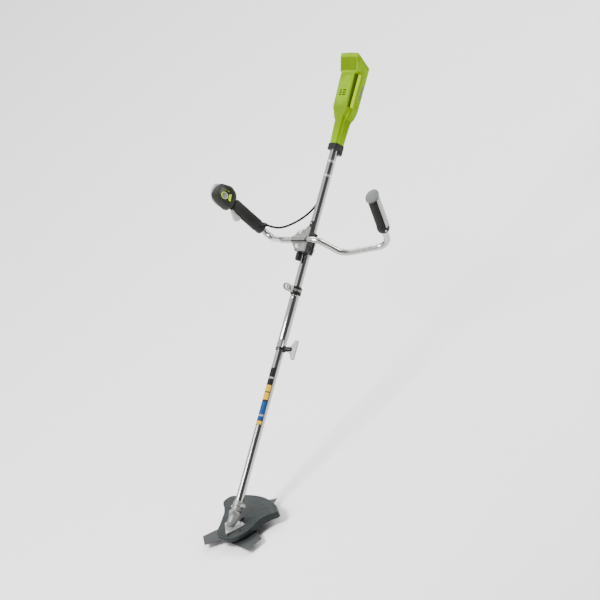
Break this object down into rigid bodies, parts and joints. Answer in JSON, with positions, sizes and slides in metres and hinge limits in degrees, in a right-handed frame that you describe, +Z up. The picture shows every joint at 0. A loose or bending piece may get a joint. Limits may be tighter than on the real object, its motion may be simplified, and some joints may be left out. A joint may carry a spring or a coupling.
{
  "type": "cordless brush cutter",
  "caption": "Split-shaft electric brush cutter with rear motor and battery housing, wide asymmetric handlebars, trigger grip, bevel gear head, guard and toothed metal blade.",
  "frame": {"origin": "centre of the hanging eye in the harness clamp, on the machine's middle plane", "axes": "+X to the user's left along the eye's bore, +Y back towards the user, +Z up, parallel to the blade's spindle; the blade lies level and the shaft rises 30 degrees towards +Y"},
  "size_m": [0.7178, 1.401, 0.865],
  "materials": {
    "battery_latch": "moulded",
    "battery_terminal": "moulded",
    "bevel_gear": "cut",
    "bevel_pinion": "cut",
    "blade": "hardened",
    "blade_flange": "turned",
    "blade_guard": "moulded",
    "blade_nut": "zinc plated",
    "blade_rider": "pressed",
    "bracket_base": "satin",
    "bracket_bolts": "zinc plated",
    "bracket_cap": "cast, bead blasted",
    "bracket_clamp": "satin",
    "bracket_knob": "moulded",
    "bracket_strip": "satin",
    "cable_clips": "satin",
    "control_panel": "gloss",
    "controller_board": "solder mask",
    "coupler_knob": "moulded",
    "coupler_sleeve": "satin",
    "gearbox_bearings": "ground",
    "gearbox_bolts": "zinc plated",
    "gearbox_case": "cast, bead blasted",
    "gearbox_nose_cap": "moulded",
    "grip_screws": "zinc plated",
    "handle_bar": "satin",
    "harness_band": "satin",
    "harness_bolt": "zinc plated",
    "harness_bush": "matt",
    "housing_left": "moulded",
    "housing_right": "moulded",
    "housing_screws": "black oxide",
    "label_strip": "vinyl",
    "left_cap_rim": "matt",
    "left_end_cap": "moulded",
    "left_ferrule": "moulded",
    "left_grip": "ribbed",
    "left_grip_strip": "satin",
    "lockout_lever": "moulded",
    "lower_drive_shaft": "drawn",
    "lower_shaft_bushes": "matt",
    "lower_tube": "satin",
    "mode_key": "gloss",
    "motor_bearing": "ground",
    "motor_can": "machined",
    "motor_rotor": "laminated",
    "neck_collar": "satin",
    "power_button": "gloss",
    "release_button": "satin",
    "spindle_shaft": "ground",
    "throttle_cable": "satin",
    "throttle_ferrule": "moulded",
    "throttle_grip_inner": "ribbed",
    "throttle_grip_outer": "ribbed",
    "throttle_head": "moulded",
    "trigger": "moulded",
    "trigger_pin": "ground",
    "upper_drive_shaft": "drawn",
    "upper_shaft_bushes": "matt",
    "upper_tube": "satin"
  },
  "bodies": {
    "frame": {"upper_tube": "upper_tube", "coupler_sleeve": "coupler_sleeve", "harness_bush": "harness_bush", "harness_band": "harness_band", "harness_bolt": "harness_bolt", "bracket_base": "bracket_base", "bracket_clamp": "bracket_clamp", "bracket_cap": "bracket_cap", "bracket_strip": "bracket_strip", "bracket_bolts": "bracket_bolts", "throttle_cable": "throttle_cable", "cable_clips": "cable_clips", "neck_collar": "neck_collar", "housing_left": "housing_left", "housing_right": "housing_right", "housing_screws": "housing_screws", "motor_can": "motor_can", "motor_bearing": "motor_bearing", "controller_board": "controller_board", "battery_terminal": "battery_terminal", "upper_shaft_bushes": "upper_shaft_bushes"},
    "battery_latch": {"battery_latch": "battery_latch"},
    "bracket_knob": {"bracket_knob": "bracket_knob"},
    "coupler_knob": {"coupler_knob": "coupler_knob"},
    "release_button": {"release_button": "release_button"},
    "drive_upper": {"motor_rotor": "motor_rotor", "upper_drive_shaft": "upper_drive_shaft"},
    "handlebar": {"handle_bar": "handle_bar", "throttle_ferrule": "throttle_ferrule", "throttle_grip_inner": "throttle_grip_inner", "throttle_grip_outer": "throttle_grip_outer", "trigger_pin": "trigger_pin", "throttle_head": "throttle_head", "control_panel": "control_panel", "left_ferrule": "left_ferrule", "left_grip": "left_grip", "left_grip_strip": "left_grip_strip", "left_cap_rim": "left_cap_rim", "left_end_cap": "left_end_cap", "grip_screws": "grip_screws"},
    "trigger": {"trigger": "trigger"},
    "lockout_lever": {"lockout_lever": "lockout_lever"},
    "power_button": {"power_button": "power_button"},
    "mode_key": {"mode_key": "mode_key"},
    "lower_unit": {"lower_tube": "lower_tube", "label_strip": "label_strip", "lower_shaft_bushes": "lower_shaft_bushes", "gearbox_case": "gearbox_case", "gearbox_nose_cap": "gearbox_nose_cap", "gearbox_bearings": "gearbox_bearings", "gearbox_bolts": "gearbox_bolts", "blade_guard": "blade_guard"},
    "drive_lower": {"lower_drive_shaft": "lower_drive_shaft", "bevel_pinion": "bevel_pinion"},
    "spindle_unit": {"spindle_shaft": "spindle_shaft", "bevel_gear": "bevel_gear", "blade_flange": "blade_flange", "blade": "blade", "blade_rider": "blade_rider", "blade_nut": "blade_nut"}
  },
  "joints": [
    {"name": "handlebar_tilt", "type": "hinge", "parent": "frame", "child": "handlebar", "pos_m": [0, 0.1391, 0.07107], "axis": [1, 0, 0], "range_deg": [-10, 15], "deforming": ["throttle_cable"]},
    {"name": "lower_slide", "type": "slide", "parent": "frame", "child": "lower_unit", "axis": [0, -0.866, -0.5], "range_m": [0, 0.06]},
    {"name": "spindle_spin", "type": "hinge", "parent": "lower_unit", "child": "spindle_unit", "pos_m": [0, -0.61959, -0.41084], "axis": [0, 0, 1], "continuous": true},
    {"name": "drive_lower_spin", "type": "hinge", "parent": "lower_unit", "child": "drive_lower", "pos_m": [0, -0.61959, -0.41084], "axis": [0, 0.866, 0.5], "continuous": true},
    {"name": "motor_spin", "type": "hinge", "parent": "frame", "child": "drive_upper", "pos_m": [0, 0.54261, 0.26016], "axis": [0, 0.866, 0.5], "continuous": true},
    {"name": "coupler_knob_turn", "type": "hinge", "parent": "frame", "child": "coupler_knob", "pos_m": [0, -0.14155, -0.13484], "axis": [0.9613, 0.1378, -0.2387], "continuous": true},
    {"name": "release_button_press", "type": "slide", "parent": "frame", "child": "release_button", "axis": [1, 0, 0], "range_m": [0, 0.0022], "stiffness_N_per_m": 600},
    {"name": "bracket_knob_turn", "type": "hinge", "parent": "frame", "child": "bracket_knob", "pos_m": [0, 0.0956, 0.03441], "axis": [0, 0.866, 0.5], "continuous": true},
    {"name": "battery_latch_press", "type": "slide", "parent": "frame", "child": "battery_latch", "axis": [0, -0.5, 0.866], "range_m": [0, 0.0028], "stiffness_N_per_m": 500},
    {"name": "trigger_pull", "type": "hinge", "parent": "handlebar", "child": "trigger", "pos_m": [-0.31212, 0.20656, 0.13812], "axis": [0.924, -0.1912, 0.3312], "range_deg": [0, 12], "stiffness_Nm_per_rad": 0.4},
    {"name": "lockout_press", "type": "hinge", "parent": "handlebar", "child": "lockout_lever", "pos_m": [-0.3396, 0.21604, 0.16179], "axis": [-0.1434, 0.9877, 0.0624], "range_deg": [0, 3.5], "stiffness_Nm_per_rad": 0.8},
    {"name": "power_button_press", "type": "slide", "parent": "handlebar", "child": "power_button", "axis": [-0.9236, -0.1109, -0.367], "range_m": [0, 0.0015], "stiffness_N_per_m": 500},
    {"name": "mode_key_press", "type": "slide", "parent": "handlebar", "child": "mode_key", "axis": [-0.9236, -0.1109, -0.367], "range_m": [0, 0.001], "stiffness_N_per_m": 500}
  ],
  "couplings": [
    {"joint": "drive_lower_spin", "follows": "spindle_spin", "ratio": -1.4},
    {"joint": "motor_spin", "follows": "spindle_spin", "ratio": -1.4}
  ]
}
